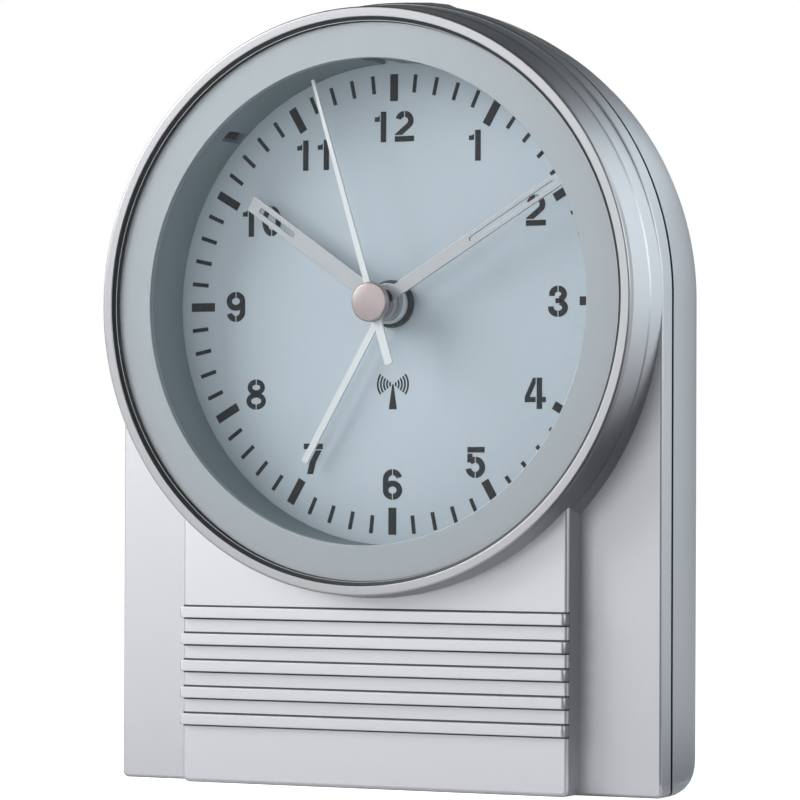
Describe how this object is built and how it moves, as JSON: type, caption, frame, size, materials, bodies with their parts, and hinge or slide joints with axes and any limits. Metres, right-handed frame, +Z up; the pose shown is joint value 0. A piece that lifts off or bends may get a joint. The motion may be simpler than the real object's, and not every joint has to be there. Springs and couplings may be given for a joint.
{
  "type": "radio-controlled alarm clock",
  "caption": "Arch-shaped silver bedside alarm clock with a deep round dial, slotted hands, ribbed plinth, crown snooze button and a geared radio movement inside.",
  "frame": {"origin": "on the table under the middle of the clock's width and depth", "axes": "-Y out of the dial towards the viewer, +X to the viewer's right, +Z up"},
  "size_m": [0.1, 0.036, 0.1315],
  "materials": {
    "silver_case": "satin silver paint over moulded plastic",
    "bezel": "polished",
    "crystal": "clear, polished",
    "dial_ring": "satin silver paint",
    "dial_wall": "fine matt slate",
    "dial": "pale blue-grey print with a soft gradient",
    "lamp": "clear lens",
    "hands": "brushed silver",
    "cap": "satin nickel",
    "black_plastic": "matt",
    "grey_button": "satin",
    "dark_control": "satin",
    "gear_plastic": "moulded",
    "movement_plastic": "moulded",
    "steel": "bright",
    "copper": "enamelled copper wire",
    "rotor": "moulded pinion on a ferrite magnet",
    "board": "solder-masked laminate",
    "ferrite": "sintered, matt",
    "buzzer": "bright disc",
    "cell": "plain printed sleeve",
    "rubber": "matt"
  },
  "bodies": {
    "case": {"front_housing": "silver_case", "rear_housing": "silver_case", "bezel_ring": "bezel", "crystal": "crystal", "dial_ring": "dial_ring", "dial_wall": "dial_wall", "dial_plate": "dial", "dial_lamp": "lamp", "hub_ring": "black_plastic", "movement_base": "movement_plastic", "movement_cover": "movement_plastic", "second_stator": "steel", "second_coil": "copper", "minute_stator": "steel", "minute_coil": "copper", "snooze_switch": "black_plastic", "alarm_switch_body": "black_plastic", "circuit_board": "board", "aerial_rod": "ferrite", "aerial_coil": "copper", "aerial_clip_left": "movement_plastic", "aerial_clip_right": "movement_plastic", "buzzer": "buzzer", "battery_cell": "cell", "contact_positive": "steel", "contact_negative": "steel", "battery_spring": "steel", "case_screw_low_left": "steel", "case_screw_high_left": "steel", "case_screw_low_right": "steel", "case_screw_high_right": "steel", "foot_left": "rubber", "foot_right": "rubber"},
    "second_hand": {"second_hand": "hands", "hand_cap": "cap", "second_wheel": "gear_plastic"},
    "second_transfer": {"second_transfer_wheel": "gear_plastic"},
    "second_rotor": {"second_rotor": "rotor"},
    "minute_hand": {"minute_hand": "hands", "minute_wheel": "gear_plastic"},
    "minute_transfer": {"minute_transfer_wheel": "gear_plastic"},
    "minute_rotor": {"minute_rotor": "rotor"},
    "motion_wheel": {"motion_wheel": "gear_plastic"},
    "hour_hand": {"hour_hand": "hands", "hour_wheel": "gear_plastic"},
    "alarm_knob": {"alarm_knob": "dark_control"},
    "alarm_hand": {"alarm_hand": "hands", "alarm_wheel": "gear_plastic"},
    "snooze_button": {"snooze_button": "dark_control"},
    "alarm_slider": {"alarm_slider": "dark_control"},
    "set_button": {"set_button": "dark_control"},
    "reception_button": {"reception_button": "dark_control"},
    "reset_button": {"reset_button": "dark_control"},
    "battery_door": {"battery_door": "silver_case"}
  },
  "joints": [
    {"name": "second_turn", "type": "hinge", "parent": "case", "child": "second_hand", "pos_m": [0, 0, 0.0805], "axis": [0, 1, 0], "continuous": true},
    {"name": "second_transfer_turn", "type": "hinge", "parent": "case", "child": "second_transfer", "pos_m": [-0.01, 0, 0.0805], "axis": [0, 1, 0], "continuous": true},
    {"name": "second_rotor_turn", "type": "hinge", "parent": "case", "child": "second_rotor", "pos_m": [-0.019, 0, 0.0805], "axis": [0, 1, 0], "continuous": true},
    {"name": "minute_turn", "type": "hinge", "parent": "case", "child": "minute_hand", "pos_m": [0, 0, 0.0805], "axis": [0, 1, 0], "continuous": true},
    {"name": "minute_transfer_turn", "type": "hinge", "parent": "case", "child": "minute_transfer", "pos_m": [0.005, 0, 0.08916], "axis": [0, 1, 0], "continuous": true},
    {"name": "minute_rotor_turn", "type": "hinge", "parent": "case", "child": "minute_rotor", "pos_m": [0.0095, 0, 0.09695], "axis": [0, 1, 0], "continuous": true},
    {"name": "motion_turn", "type": "hinge", "parent": "case", "child": "motion_wheel", "pos_m": [0, 0, 0.0705], "axis": [0, 1, 0], "continuous": true},
    {"name": "hour_turn", "type": "hinge", "parent": "case", "child": "hour_hand", "pos_m": [0, 0, 0.0805], "axis": [0, 1, 0], "continuous": true},
    {"name": "alarm_knob_turn", "type": "hinge", "parent": "case", "child": "alarm_knob", "pos_m": [0.012, 0, 0.0805], "axis": [0, 1, 0], "continuous": true},
    {"name": "alarm_turn", "type": "hinge", "parent": "case", "child": "alarm_hand", "pos_m": [0, 0, 0.0805], "axis": [0, 1, 0], "continuous": true},
    {"name": "snooze_press", "type": "slide", "parent": "case", "child": "snooze_button", "axis": [0, 0, -1], "range_m": [0, 0.0012], "stiffness_N_per_m": 250, "springref_m": -0.0008},
    {"name": "alarm_slide", "type": "slide", "parent": "case", "child": "alarm_slider", "axis": [1, 0, 0], "range_m": [0, 0.004]},
    {"name": "set_press", "type": "slide", "parent": "case", "child": "set_button", "axis": [0, -1, 0], "range_m": [0, 0.0007], "stiffness_N_per_m": 300, "springref_m": -0.0005},
    {"name": "reception_press", "type": "slide", "parent": "case", "child": "reception_button", "axis": [0, -1, 0], "range_m": [0, 0.0007], "stiffness_N_per_m": 300, "springref_m": -0.0005},
    {"name": "reset_press", "type": "slide", "parent": "case", "child": "reset_button", "axis": [0, -1, 0], "range_m": [0, 0.0007], "stiffness_N_per_m": 300, "springref_m": -0.0005},
    {"name": "door_hinge", "type": "hinge", "parent": "case", "child": "battery_door", "pos_m": [0, 0.0142, 0.0126], "axis": [-1, 0, 0], "range_deg": [0, 85]}
  ],
  "couplings": [
    {"joint": "second_transfer_turn", "follows": "second_turn", "ratio": -4},
    {"joint": "second_rotor_turn", "follows": "second_turn", "ratio": 20},
    {"joint": "minute_transfer_turn", "follows": "minute_turn", "ratio": -4},
    {"joint": "minute_rotor_turn", "follows": "minute_turn", "ratio": 20},
    {"joint": "motion_turn", "follows": "minute_turn", "ratio": -0.33333},
    {"joint": "hour_turn", "follows": "minute_turn", "ratio": 0.083333},
    {"joint": "alarm_turn", "follows": "alarm_knob_turn", "ratio": -0.33333}
  ]
}
